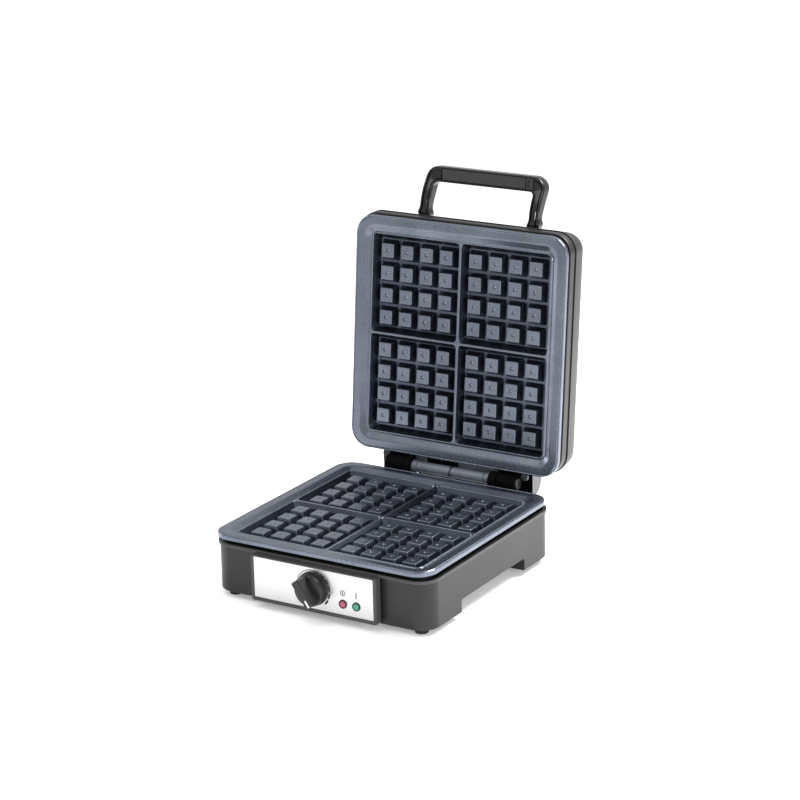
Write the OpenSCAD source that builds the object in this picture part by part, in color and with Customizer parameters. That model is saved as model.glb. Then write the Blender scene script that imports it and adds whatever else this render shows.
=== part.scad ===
// Four-slice waffle maker with a tilting lid, resting with the lid open.
// Millimetres. X is to the right, Y to the back, Z up, floor at Z = 0.
// The origin is on the floor, below the middle of the whole machine with its lid open.
// Pieces are drawn with Y = 0 at the middle of the lower cooking plate; on_origin() and
// lid_pose() then move them back by mid_y.

/* [Show] */
// Name of the piece to draw, or all

/* [Base] */
// Outer width of the base housing wall
body_w = 254; // [200:1:320]
// Outer depth of the base housing wall
body_d = 250; // [200:1:320]
// Height of the base housing above its feet
base_h = 52.3; // [42:0.1:70]
// How far the housing stands back of the plate middle
body_back = 2; // [0:0.5:4]
// Radius of the upright housing corners
corner_r = 20; // [10:1:30]
// Thickness of the plastic walls
wall = 2.6; // [2:0.1:4]
// Height of the rubber feet below the housing
foot_h = 6.2; // [4:0.1:10]
// Diameter of the rubber feet
foot_d = 14; // [10:0.5:20]
// Height of the arches in the two sides
arch_h = 13.5; // [6:0.5:18]
// Length of the arches in the two sides
arch_w = 127; // [80:1:140]

/* [Cooking plates] */
// Cells along one side of one slice
cells = 4; // [3:1:5]
// Height of the grid pins above the pocket floor
pin_h = 9; // [6:0.5:12]
// Width of the flat top of a pin, as a share of the pitch
pin_share = 0.6; // [0.45:0.01:0.7]
// Gap between the two plate rims when the lid is shut
rim_gap = 0.8; // [0.4:0.1:2]

/* [Lid] */
// Height of the lid shell above its lip
lid_h = 34; // [28:1:46]
// Angle the lid leans back from shut
lid_open = 95.93; // [90:0.01:105]
// Diameter of the hinge pins
pin_d = 8; // [6:0.5:10]
// Width over the two hinge arms
hinge_w = 184; // [140:1:200]

/* [Handle] */
// Outer width of the handle
handle_w = 144; // [110:1:180]
// Reach of the handle in front of the lid
handle_reach = 48.6; // [40:0.1:70]
// Width of the two handle legs
leg_w = 12; // [9:0.5:15]
// Width of the grip bar between the legs
grip_w = 16.4; // [12:0.1:20]

/* [Controls] */
// Width of the control bezel
bezel_w = 147; // [120:1:170]
// Height of the bezel border above the steel panel
panel_top = 1.3; // [1:0.1:3]
// Height of the bezel border below the steel panel
panel_foot = 4.2; // [2:0.1:6]
// Height of the lamps above the lower edge of the bezel window
lamp_up = 6.6; // [5:0.1:12]
// Diameter of the temperature knob
knob_d = 35; // [26:0.5:40]
// Height of the knob above the panel
knob_h = 20; // [14:0.5:26]
// Angle of the knob pointer at rest
knob_rest = -55; // [-90:1:90]

/* [Hidden] */
$fn = 48;
// levels
rim_z = foot_h + base_h;
pz = rim_z + 6;
plate_w = body_w;
plate_d = body_d + 4;
plate_r = corner_r + 1;
lip_over = 1.5;
top_over = 3.7;
top_edge = 1.3;
floor_z = pz - pin_h;
under_z = floor_z - 2.5;
by = body_back;
yf = by - body_d / 2;
yr = by + body_d / 2;
// grid of one slice
ridge_foot = 5.7;
floor_x = plate_w / 2 - 25.3;
floor_y = plate_d / 2 - 25.3;
pitch_x = (floor_x - ridge_foot) / cells;
pitch_y = (floor_y - ridge_foot) / cells;
// lid, drawn shut and then tilted about the hinge axis
lz = pz + 2 * top_over + rim_gap;
hy = plate_d / 2 + 11.7;
hz = pz + 6.07;
lip_z = lz + 14.8;
lid_f = -plate_d / 2 - 3;
lid_b = plate_d / 2 - 1;
lid_w = plate_w + 2.4;
lid_d = lid_b - lid_f;
lid_y = (lid_f + lid_b) / 2;
lid_top = lip_z + lid_h;
// controls
py = yf - 10.5;
panel_w = bezel_w - 7;
bezel_z0 = foot_h + 1.8;
bezel_z1 = rim_z - 2.2;
panel_h = bezel_z1 - bezel_z0 - panel_top - panel_foot;
panel_z = bezel_z0 + panel_foot + panel_h / 2;
knob_y = py - 0.3;
lamp_x = [35, 50.5];
window_in = 4.8;
window_z0 = panel_z - panel_h / 2 + window_in;
window_z1 = panel_z + panel_h / 2 - window_in;
lamp_z = window_z0 + lamp_up;
thermostat_gap = 3.6;
arch_f = by + 1.5 - arch_w / 2;
arch_b = by + 1.5 + arch_w / 2;
mid_z = foot_h + arch_h;
collar_h = 8.4;
// bottom cover over the service opening
cover_x = body_w / 2 - 29;
// hinge hardware
arm_out = hinge_w / 2;
knuckle_out = arm_out - 13;
arm_x = arm_out - 34;
ear_x = arm_out - 44;
shelf_z = hz - 16.35;
// handle
hq = handle_reach - lid_f;
hh = lid_top - 10.8;
grip_l = -handle_w / 2 + leg_w + 7;
grip_r = handle_w / 2 - leg_w - 10;
leg_x = handle_w / 2 - leg_w / 2;
grip_top = 21;
// middle of the whole machine, from the knob pointer to the grip of the open lid
pointer_out = 0.05;
front_y = knob_y - knob_h - pointer_out;
back_y = hy - (hq + hy) * cos(lid_open) + (hh + grip_top - hz) * sin(lid_open);
mid_y = (front_y + back_y) / 2;

black = [0.12, 0.12, 0.13];
gloss = [0.05, 0.05, 0.06];
coat = [0.33, 0.36, 0.42];
steel = [0.8, 0.8, 0.82];
bright = [0.7, 0.7, 0.72];

module rrect(w, d, r) {
  square([w - 2 * r, d], center = true);
  square([w, d - 2 * r], center = true);
  for (i = [-1, 1]) for (j = [-1, 1])
    translate([i * (w / 2 - r), j * (d / 2 - r)]) circle(r);
}

module slab(w, d, r, z0, z1) {
  translate([0, 0, z0]) linear_extrude(z1 - z0) rrect(w, d, r);
}

// rounded block whose sides slope; the outline grows or shrinks evenly
module cone_slab(w, d, r0, r1, z0, z1) {
  hull() for (i = [-1, 1]) for (j = [-1, 1])
    translate([i * (w / 2 - r0), j * (d / 2 - r0), z0])
      cylinder(h = z1 - z0, r1 = r0, r2 = r1, $fn = 32);
}

module bar_x(w, profile) {
  translate([-w / 2, 0, 0]) rotate([90, 0, 90]) linear_extrude(w) polygon(profile);
}

module along_y(y0, y1, r) {
  translate([0, y1, 0]) rotate([90, 0, 0]) cylinder(h = y1 - y0, r = r);
}

module along_x(x0, x1, r) {
  translate([x0, 0, 0]) rotate([0, 90, 0]) cylinder(h = x1 - x0, r = r);
}

module on_origin() {
  translate([0, -mid_y, 0]) children();
}

module lid_pose() {
  translate([0, hy - mid_y, hz]) rotate([-lid_open, 0, 0]) translate([0, -hy, -hz]) children();
}

module four(x, y) {
  for (i = [-1, 1]) for (j = [-1, 1]) translate([i * x, j * y, 0]) children();
}

// ---- one cooking plate, face up, pin tops at z = 0 ----

function pin_at(i, pitch) = ridge_foot + pitch * (i + 0.5);

module pin_bars(pitch, length) {
  foot = pitch * 0.875 / 2;
  tip = pitch * pin_share / 2;
  for (s = [-1, 1]) for (i = [0:cells - 1])
    translate([0, s * pin_at(i, pitch), 0])
      bar_x(length, [[-foot, -pin_h - 0.5], [foot, -pin_h - 0.5], [foot, -pin_h], [tip, 0],
        [-tip, 0], [-foot, -pin_h]]);
}

module pins() {
  intersection() {
    pin_bars(pitch_y, 2 * floor_x);
    rotate([0, 0, 90]) pin_bars(pitch_x, 2 * floor_y);
  }
}

module pin_dimples() {
  for (sx = [-1, 1]) for (sy = [-1, 1])
    for (i = [0:cells - 1]) for (j = [0:cells - 1])
      translate([sx * pin_at(i, pitch_x), sy * pin_at(j, pitch_y), -0.8])
        cylinder(h = 2, r = 1.4, $fn = 16);
}

module pocket() {
  x0 = ridge_foot + 0.3;
  x1 = floor_x + 0.6;
  y1 = floor_y + 0.6;
  translate([(x0 + x1) / 2, (x0 + y1) / 2, 0])
    cone_slab(x1 - x0, y1 - x0, 2.5, 7.4, -pin_h, top_edge + 0.01);
}

module plate_face() {
  difference() {
    union() {
      difference() {
        union() {
          difference() {
            union() {
              slab(plate_w, plate_d, plate_r, -1.3, top_over);
              slab(plate_w - 34, plate_d - 34, 12, -pin_h - 2.5, 0);
            }
            // dished rim falling to a groove round the slices
            cone_slab(plate_w - 34, plate_d - 34, 8, 14.5, 0.3, top_over + 0.01);
          }
          slab(plate_w - 36.6, plate_d - 36.6, 8, -0.5, top_edge);
        }
        for (sx = [0, 1]) for (sy = [0, 1]) mirror([sx, 0, 0]) mirror([0, sy, 0]) pocket();
      }
      pins();
    }
    pin_dimples();
    // crease just inside the rolled edge
    difference() {
      slab(plate_w - 3.4, plate_d - 3.4, plate_r - 1.7, top_over - 0.6, top_over + 1);
      slab(plate_w - 5.4, plate_d - 5.4, plate_r - 2.7, top_over - 1, top_over + 2);
    }
  }
  // bosses that take the fixing screws
  four(plate_w / 2 - 32, plate_d / 2 - 32) difference() {
    translate([0, 0, -pin_h - 9.5]) cylinder(h = 7.2, r = 5);
    translate([0, 0, -pin_h - 10]) cylinder(h = 6, r = 2);
  }
}

module heater_loop() {
  // rounded loop of sheathed element with two cold ends towards the back
  x = plate_w / 2 - 55;
  y = plate_d / 2 - 55;
  r = 18;
  t = 3.3;
  for (s = [-1, 1]) translate([s * x, 0, 0]) rotate([90, 0, 0])
    cylinder(h = 2 * (y - r), r = t, center = true);
  translate([0, -y, 0]) rotate([0, 90, 0]) cylinder(h = 2 * (x - r), r = t, center = true);
  for (s = [-1, 1]) {
    mirror([s > 0 ? 1 : 0, 0, 0]) {
      translate([-14 - r, y, 0]) rotate([0, -90, 0]) cylinder(h = x - 14 - 2 * r, r = t);
      translate([-x + r, y - r, 0]) rotate([0, 0, 90]) rotate_extrude(angle = 90)
        translate([r, 0]) circle(t, $fn = 24);
      translate([-x + r, -y + r, 0]) rotate([0, 0, 180]) rotate_extrude(angle = 90)
        translate([r, 0]) circle(t, $fn = 24);
      translate([-14 - r, y + r, 0]) rotate([0, 0, -90]) rotate_extrude(angle = 90)
        translate([r, 0]) circle(t, $fn = 24);
      translate([-14, y + r, 0]) rotate([-90, 0, 0]) cylinder(h = 10, r = t);
      translate([-14, y + r + 10, 0]) rotate([-90, 0, 0]) cylinder(h = 6, r = 1.6);
    }
  }
}

module tray(w, d, h, t) {
  difference() {
    slab(w, d, 10, 0, h);
    slab(w - 2 * t, d - 2 * t, 10 - t, t, h + 1);
    four(plate_w / 2 - 32, plate_d / 2 - 32) translate([0, 0, -1]) cylinder(h = 3, r = 2.3);
    for (s = [-1, 1]) translate([s * 14, d / 2 - 6, -1]) cylinder(h = 3, r = 3);
  }
}

module pan_screws() {
  four(plate_w / 2 - 32, plate_d / 2 - 32) {
    cylinder(h = 6.6, r = 1.95);
    translate([0, 0, -2.4]) difference() {
      cylinder(h = 2.4, r = 3.8);
      translate([-2.6, -0.5, -1]) cube([5.2, 1, 2]);
      translate([-0.5, -2.6, -1]) cube([1, 5.2, 2]);
    }
  }
}

// ---- base ----

module housing_hollow(y0, y1, z0) {
  translate([0, 0, z0]) linear_extrude(rim_z - z0 + 1) intersection() {
    translate([0, by]) rrect(body_w - 2 * wall, body_d - 2 * wall, corner_r - wall);
    translate([-body_w, y0]) square([2 * body_w, y1 - y0]);
  }
}

module arch_tunnel() {
  w = arch_b - arch_f;
  translate([-body_w, 0, 0]) rotate([90, 0, 90]) linear_extrude(2 * body_w) {
    translate([arch_f, -1]) square([w, mid_z - 3 + 1]);
    translate([arch_f + 3, 0]) square([w - 6, mid_z]);
    for (y = [arch_f + 3, arch_b - 3]) translate([y, mid_z - 3]) circle(3, $fn = 24);
  }
}

module base_housing() color(black) on_origin() {
  difference() {
    union() {
      translate([0, by, 0]) slab(body_w, body_d, corner_r, foot_h, rim_z - 1.8);
      translate([0, by, 0])
        slab(body_w + 2 * lip_over, body_d + 2 * lip_over + 1, corner_r + 1.5, rim_z - 2, rim_z);
    }
    arch_tunnel();
    housing_hollow(-body_d, arch_f - wall, foot_h + wall);
    housing_hollow(arch_f - wall - 1, arch_b + wall + 1, mid_z + wall);
    housing_hollow(arch_b + wall, body_d, foot_h + wall);
    // opening behind the bezel
    translate([-bezel_w / 2 + 5, yf - 5, bezel_z0 + 5])
      cube([bezel_w - 10, 15, bezel_z1 - bezel_z0 - 8]);
    // service opening closed by the bottom cover
    translate([10 - cover_x, arch_f + 17, mid_z - 1])
      cube([2 * cover_x - 20, arch_b - arch_f - 34, wall + 2]);
    for (p = cover_screw_at()) translate([p[0], p[1], mid_z - 1]) cylinder(h = wall + 2, r = 1.8);
    for (p = feet_at()) translate([p[0], p[1], foot_h - 1]) cylinder(h = wall + 2, r = 3.1);
    // cord gland hole
    translate([gland_x(), 0, foot_h + 22]) along_y(yr - 10, yr + 5, 7.1);
    // bracket screw holes
    for (s = [-1, 1]) for (x = bracket_screw_x()) for (z = bracket_screw_z())
      translate([s * x, 0, z]) along_y(yr - 10, yr + 5, 2);
  }
  // corner posts that carry the collar
  difference() {
    four(body_w / 2 - 13, body_d / 2 - 18) translate([0, by, foot_h + wall - 0.5])
      cylinder(h = rim_z - collar_h + 0.4 - foot_h - wall, r = 6);
    for (p = feet_at()) translate([p[0], p[1], foot_h - 1]) cylinder(h = 12, r = 3.1);
  }
}

function feet_at() = [for (i = [-1, 1]) for (j = [-1, 1])
  [i * (body_w / 2 - 17), by + j * (body_d / 2 - 14)]];
function cover_screw_at() = [for (i = [-1, 1]) for (y = [arch_f + 12, arch_b - 12]) [i * (cover_x - 5), y]];
function gland_x() = -body_w * 0.1;
function bracket_screw_x() = [arm_x + 8, arm_out - 8];
function bracket_screw_z() = [hz - 42, hz - 28];

module feet() color([0.07, 0.07, 0.07]) on_origin() for (p = feet_at()) translate([p[0], p[1], 0]) {
  cylinder(h = 1.2, r1 = foot_d / 2 - 1, r2 = foot_d / 2);
  translate([0, 0, 1.2]) cylinder(h = foot_h - 1.2, r = foot_d / 2);
  translate([0, 0, foot_h - 0.1]) cylinder(h = 7, r = 3);
}

module bottom_cover() color(black) on_origin() difference() {
  translate([-cover_x, arch_f + 7, mid_z - 1.8]) cube([2 * cover_x, arch_b - arch_f - 14, 1.8]);
  for (s = [-1, 1]) for (i = [-4:4])
    translate([i * 16, (arch_f + arch_b) / 2 + s * (arch_w - 31) / 4, mid_z - 3]) linear_extrude(4)
      rrect(4, (arch_w - 31) / 3, 1.9);
  for (p = cover_screw_at()) translate([p[0], p[1], mid_z - 3]) cylinder(h = 4, r = 1.8);
}

module cover_screws() color(bright) on_origin() for (p = cover_screw_at()) translate([p[0], p[1], 0]) {
  translate([0, 0, mid_z - 1.8]) cylinder(h = wall + 5, r = 1.75);
  translate([0, 0, mid_z - 4]) difference() {
    cylinder(h = 2.2, r = 3.4);
    translate([-2.4, -0.5, -1]) cube([4.8, 1, 2]);
    translate([-0.5, -2.4, -1]) cube([1, 4.8, 2]);
  }
}

module collar() color(gloss) on_origin() difference() {
  slab(plate_w - 12, body_d - 13, plate_r - 6, rim_z - collar_h, pz - 1.4);
  slab(plate_w - 30, plate_d - 30, 12, rim_z - 20, pz);
}

module lower_plate() color(coat) on_origin() translate([0, 0, pz]) plate_face();

module lower_heater() color(bright) on_origin() translate([0, 0, under_z - 3.6]) heater_loop();

module lower_reflector() color(steel) on_origin() translate([0, 0, under_z - 8.3])
  tray(plate_w - 38, plate_d - 38, 5, 1);

module lower_plate_screws() color(bright) on_origin() translate([0, 0, under_z - 8.35]) pan_screws();

module thermal_fuse() color([0.85, 0.83, 0.75]) on_origin() translate([40, 30, under_z - 12]) {
  rotate([0, 90, 0]) cylinder(h = 22, r = 2.6);
  for (x = [4, 15]) translate([x, -1.5, 0]) cube([3, 3, 3.6]);
  translate([-8, 0, 0]) rotate([0, 90, 0]) cylinder(h = 38, r = 0.8);
}

module terminal_block() color([0.9, 0.88, 0.8]) on_origin()
  translate([gland_x() + 45, yr - 28, foot_h + wall]) {
  difference() {
    cube([36, 14, 12]);
    for (i = [0:2]) translate([6 + i * 12, 7, 4]) cylinder(h = 10, r = 2.4);
    for (i = [0:2]) translate([6 + i * 12, -1, 4]) rotate([-90, 0, 0]) cylinder(h = 16, r = 1.6);
  }
}

module terminal_screws() color(bright) on_origin()
  for (i = [0:2]) translate([gland_x() + 51 + i * 12, yr - 21, foot_h + wall + 7.7]) difference() {
    cylinder(h = 3, r = 2.3);
    translate([-3, -0.4, 2.2]) cube([6, 0.8, 2]);
  }

module cord_gland() color(gloss) on_origin() translate([gland_x(), 0, foot_h + 22]) difference() {
  union() {
    along_y(yr - wall - 4, yr + 0.1, 7);
    along_y(yr + 0.05, yr + 3, 9.5);
    along_y(yr - wall - 5.5, yr - wall - 0.1, 8.6);
    along_y(yr + 2.9, yr + 9, 6);
  }
  along_y(yr - 20, yr + 20, 3.6);
}

// ---- controls ----

module bezel_outline(w, z0, z1, r) {
  translate([0, (z0 + z1) / 2]) rrect(w, z1 - z0, r);
}

module facing_front(y0, y1) {
  translate([0, y1, 0]) rotate([90, 0, 0]) linear_extrude(y1 - y0) children();
}

module control_bezel() color(black) on_origin() difference() {
  union() {
    facing_front(py, yf - 0.15) bezel_outline(bezel_w, bezel_z0, bezel_z1, 2.2);
    facing_front(yf - 0.3, yf + 4) bezel_outline(bezel_w - 11, bezel_z0 + 5.5, bezel_z1 - 3.5, 2);
  }
  facing_front(py - 1, py + 1.3)
    bezel_outline(panel_w + 0.2, panel_z - panel_h / 2 - 0.1, panel_z + panel_h / 2 + 0.1, 1);
  facing_front(py - 1, yf + 9) bezel_outline(panel_w - 10, window_z0, window_z1, 2);
}

module control_panel() color(steel) on_origin() difference() {
  facing_front(py + 0.2, py + 1.2)
    bezel_outline(panel_w, panel_z - panel_h / 2, panel_z + panel_h / 2, 0.9);
  translate([0, 0, panel_z]) along_y(py - 5, py + 5, 4.2);
  for (x = lamp_x) translate([x, 0, lamp_z]) along_y(py - 5, py + 5, 4);
}

module ring_arc(r0, r1, a0, a1) {
  // flat arc in the panel plane, from angle a0 to a1
  intersection() {
    difference() { circle(r1, $fn = 96); circle(r0, $fn = 96); }
    polygon([[0, 0], for (i = [0:6]) 3 * r1 * [cos(a0 + (a1 - a0) * i / 6), sin(a0 + (a1 - a0) * i / 6)]]);
  }
}

module dial_print() color([0.1, 0.1, 0.1]) on_origin() {
  r = knob_d / 2 + 1.4;
  facing_front(py + 0.05, py + 0.19) translate([0, panel_z]) intersection() {
    square([panel_w - 1, panel_h - 1], center = true);
    union() {
      ring_arc(r, r + 0.7, 65, 155);
      for (i = [0:4]) ring_arc(r, r + 0.9 + i * 0.25, -45 + 22 * (4 - i), -28 + 22 * (4 - i));
    }
  }
  facing_front(py + 0.05, py + 0.19) {
    translate([lamp_x[0], panel_z + 1.5]) difference() { circle(2.9); circle(2.3); }
    translate([lamp_x[0] - 0.4, panel_z - 0.2]) square([0.8, 3.2]);
    translate([lamp_x[1] - 0.45, panel_z - 1.8]) square([0.9, 6]);
  }
}

module thermostat_body() color([0.75, 0.75, 0.72]) on_origin() difference() {
  union() {
    facing_front(py + 1.3, py + 2.8)
      bezel_outline(32, window_z0 + thermostat_gap, window_z1 - thermostat_gap, 1);
    translate([0, 0, panel_z]) along_y(py + 2.7, py + 16, 11);
    translate([-7, py + 15.9, panel_z - 9]) cube([14, 6, 18]);
  }
  translate([0, 0, panel_z]) along_y(py, py + 17, 3.05);
}

module thermostat_shaft() color(bright) on_origin() translate([0, 0, panel_z]) along_y(py - 12, py + 14, 3);

module temperature_knob() color(gloss) on_origin() {
  r = knob_d / 2;
  translate([0, knob_y, panel_z]) rotate([0, -knob_rest, 0]) difference() {
    union() {
      rotate([90, 0, 0]) cylinder(h = 3.2, r = r);
      translate([0, -3.1, 0]) rotate([90, 0, 0]) cylinder(h = 6, r1 = r - 0.6, r2 = r - 2.4);
      intersection() {
        translate([-r, 0, 0]) rotate([0, 90, 0]) linear_extrude(2 * r)
          polygon([[-7, 0], [7, 0], [4.2, -knob_h], [-4.2, -knob_h]]);
        rotate([90, 0, 0]) cylinder(h = knob_h, r1 = r + 0.2, r2 = r - 2);
      }
    }
    translate([0, -12.2, 0]) along_y(0, 20, 3.02);
    // slot for the pointer
    translate([r - 11, -knob_h - 1, -1]) cube([8, 1.7, 2]);
  }
}

module knob_pointer() color([0.92, 0.92, 0.9]) on_origin()
  translate([0, knob_y, panel_z]) rotate([0, -knob_rest, 0])
    translate([knob_d / 2 - 10.95, -knob_h - pointer_out, -0.95]) cube([7.9, 0.7, 1.9]);

module lamp_collars() color(gloss) on_origin() for (x = lamp_x) translate([x, 0, lamp_z]) difference() {
  union() {
    along_y(py - 0.9, py + 0.18, 4.6);
    along_y(py, py + 4, 3.9);
  }
  along_y(py - 2, py + 5, 3.45);
}

module lamp_lens(x) translate([x, 0, lamp_z]) {
  along_y(py - 0.6, py + 4.2, 3.4);
  translate([0, py - 0.6, 0]) rotate([90, 0, 0]) cylinder(h = 1, r1 = 3.4, r2 = 2.2);
}

module heating_lamp() color([0.6, 0.05, 0.08]) on_origin() lamp_lens(lamp_x[0]);
module ready_lamp() color([0.03, 0.45, 0.25]) on_origin() lamp_lens(lamp_x[1]);

module lamp_holders() color([0.85, 0.85, 0.8]) on_origin() for (x = lamp_x) translate([x, 0, lamp_z]) {
  along_y(py + 4.3, py + 16, 3.6);
  for (s = [-1, 1]) translate([s * 1.6, 0, 0]) along_y(py + 15.9, py + 21, 0.5);
}

// ---- hinge, base side ----

module hinge_bracket(s) mirror([s < 0 ? 1 : 0, 0, 0]) color(gloss) on_origin() difference() {
  union() {
    translate([ear_x, yr + 0.1, hz - 48]) cube([arm_out - ear_x, 3, 48 - 15]);
    // ear round the hinge pin
    translate([ear_x, 0, 0]) rotate([90, 0, 90]) linear_extrude(9) {
      polygon([[yr + 0.1, hz - 46], [yr + 3, hz - 46], [hy + 6, hz - 22], [hy + 8.8, hz],
        [hy - 8.8, hz], [hy - 8.8, hz - 15.2], [yr + 0.1, hz - 15.2]]);
      translate([hy, hz]) circle(9);
    }
    // shelf the open lid rests on, with two gussets
    translate([arm_x, yr + 1, shelf_z - 4]) cube([arm_out - arm_x, 32, 4]);
    for (x = [arm_x + 1, arm_out - 4]) translate([x, 0, 0]) rotate([90, 0, 90]) linear_extrude(3)
      polygon([[yr + 2, shelf_z - 3], [yr + 28, shelf_z - 3], [yr + 2, shelf_z - 22]]);
  }
  translate([0, hy, hz]) along_x(ear_x - 5, ear_x + 20, pin_d / 2 + 0.01);
  for (x = bracket_screw_x()) for (z = bracket_screw_z())
    translate([x, 0, z]) along_y(yr - 5, yr + 8, 2);
}

module hinge_bracket_left() hinge_bracket(-1);
module hinge_bracket_right() hinge_bracket(1);

module bracket_screws() color(bright) on_origin()
  for (s = [-1, 1]) for (x = bracket_screw_x()) for (z = bracket_screw_z())
    translate([s * x, 0, z]) {
      along_y(yr - wall - 4, yr + 3.2, 1.95);
      along_y(yr + 3.15, yr + 5.2, 3.6);
    }

module hinge_pin(s) mirror([s < 0 ? 1 : 0, 0, 0]) color(bright) on_origin() translate([0, hy, hz]) {
  along_x(ear_x - 18, knuckle_out + 0.4, pin_d / 2);
  along_x(knuckle_out + 0.3, knuckle_out + 2, pin_d / 2 + 2);
}
module hinge_pin_left() hinge_pin(-1);
module hinge_pin_right() hinge_pin(1);

module barrel(s) mirror([s < 0 ? 1 : 0, 0, 0]) color(coat) on_origin() translate([0, hy, hz]) difference() {
  union() {
    along_x(0.9, ear_x - 4, 6);
    along_x(ear_x - 7.5, ear_x - 0.2, 6.6);
  }
  along_x(0, 60, pin_d / 2 + 0.03);
}
module barrel_left() barrel(-1);
module barrel_right() barrel(1);

module barrel_ring() color(bright) on_origin() translate([0, hy, hz]) difference() {
  along_x(-0.85, 0.85, 6.5);
  along_x(-5, 5, pin_d / 2 + 0.03);
}

// ---- lid, drawn shut ----

module upper_plate() color(coat) lid_pose() translate([0, 0, lz]) mirror([0, 0, 1]) plate_face();

module upper_heater() color(bright) lid_pose()
  translate([0, 0, lz + pin_h + 6.1]) mirror([0, 0, 1]) heater_loop();

module upper_reflector() color(steel) lid_pose()
  translate([0, 0, lz + pin_h + 10.8]) mirror([0, 0, 1]) tray(plate_w - 38, plate_d - 38, 5, 1);

module upper_plate_screws() color(bright) lid_pose()
  translate([0, 0, lz + pin_h + 10.85]) mirror([0, 0, 1]) pan_screws();

module lid_frame() color(gloss) lid_pose() difference() {
  union() {
    translate([0, lid_y, 0]) slab(lid_w - 2, lid_d - 2, corner_r + 1, lz + 3.5, lip_z - 0.1);
    slab(plate_w - 10, plate_d - 12, corner_r - 4, lz + 1.4, lz + 4);
    translate([0, lid_y, 0]) slab(lid_w - 7, lid_d - 7, corner_r - 2, lip_z - 1, lip_z + 3);
  }
  slab(plate_w - 30, plate_d - 30, 12, lz, lip_z + 10);
}

module shell_body(in, cut) {
  w = lid_w - 2 * in;
  d = lid_d - 2 * in;
  h = lid_h - in;
  translate([0, lid_y, 0]) hull() {
    slab(w, d, corner_r + 2 - in, lip_z - cut, lip_z + 1.2);
    slab(w - 7.6, d - 7.6, corner_r - in, lip_z + h * 0.62, lip_z + h * 0.62 + 0.1);
    slab(w - 18, d - 18, corner_r - 3 - in, lip_z + h * 0.9, lip_z + h * 0.9 + 0.1);
    slab(w - 34, d - 34, corner_r - 6 - in, lip_z + h - 0.1, lip_z + h);
  }
}

module lid_shell() color(black) lid_pose() difference() {
  shell_body(0, 0);
  shell_body(wall, 1);
  for (s = [-1, 1]) leg_hole(s);
}

module leg_hole(s) {
  translate([s * leg_x - leg_w / 2 - 0.15, lid_f - 10, hh - 5.3]) cube([leg_w + 0.3, 24, 10.9]);
}

// side outline of the handle: [distance in front of the plate middle, height above its root]
function handle_side() = let (q = hq, k = -lid_f) [
  [k - 12, -5], [k, -5], [q - 36, -3.6], [q - 27, -0.8], [q - 19, 3], [q - 13.5, 6.2],
  [q - 9, 7], [q + 2, 7], [q + 2, grip_top], [q - 9, grip_top], [q - 16, 18.6], [q - 26, 13.4],
  [q - 36, 8.6], [k, 5.5], [k - 12, 5.2]];

module handle_outline(w, q, r) {
  // U shape seen from below, legs towards +Y
  translate([0, 0]) difference() {
    union() {
      translate([-w / 2, -q + r]) square([w, q]);
      translate([-w / 2 + r, -q]) square([w - 2 * r, q]);
      for (i = [-1, 1]) translate([i * (w / 2 - r), -q + r]) circle(r);
    }
    translate([-w / 2 + leg_w, -q + grip_w + 6]) square([w - 2 * leg_w, q]);
    translate([-w / 2 + leg_w + 6, -q + grip_w]) square([w - 2 * leg_w - 12, q]);
    for (i = [-1, 1]) translate([i * (w / 2 - leg_w - 6), -q + grip_w + 6]) circle(6);
  }
}

module handle_frame() color(gloss) lid_pose() difference() {
  translate([0, 0, hh]) intersection() {
    translate([0, 0, -20]) linear_extrude(50) handle_outline(handle_w, hq, 18);
    translate([-200, 0, 0]) rotate([90, 0, 90]) linear_extrude(400)
      polygon([for (p = handle_side()) [-p[0], p[1]]]);
  }
  // recess for the grip cover and the catch
  translate([grip_l, -hq + 1.6, hh + 6]) cube([grip_r + 9 - grip_l, grip_w - 3.1, 3.2]);
  for (s = [-1, 1]) translate([s * leg_x, lid_f + 30, hh]) along_y(-60, -16, 1.7);
}

module handle_cover() color(gloss) lid_pose()
  translate([grip_l + 0.8, -hq + 1.7, hh + 7.2]) cube([grip_r - grip_l - 2, grip_w - 3.3, 1.9]);

module handle_catch() color(gloss) lid_pose() difference() {
  translate([grip_r - 0.4, -hq + 1.9, hh + 6.8]) cube([8.8, grip_w - 3.7, 2.3]);
  translate([grip_r + 1, -hq + 3.4, hh + 6]) cube([6, grip_w - 6.7, 1.6]);
}

module handle_screws() color(bright) lid_pose()
  for (s = [-1, 1]) translate([s * leg_x, 0, hh]) {
    along_y(lid_f + 0.5, lid_f + 12.2, 1.65);
    along_y(lid_f + 12.15, lid_f + 14, 3.4);
  }

// a point about the hinge axis with the lid open, as it lies with the lid shut
function at_rest(y, z) = [y * cos(lid_open) - z * sin(lid_open), y * sin(lid_open) + z * cos(lid_open)];

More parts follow.
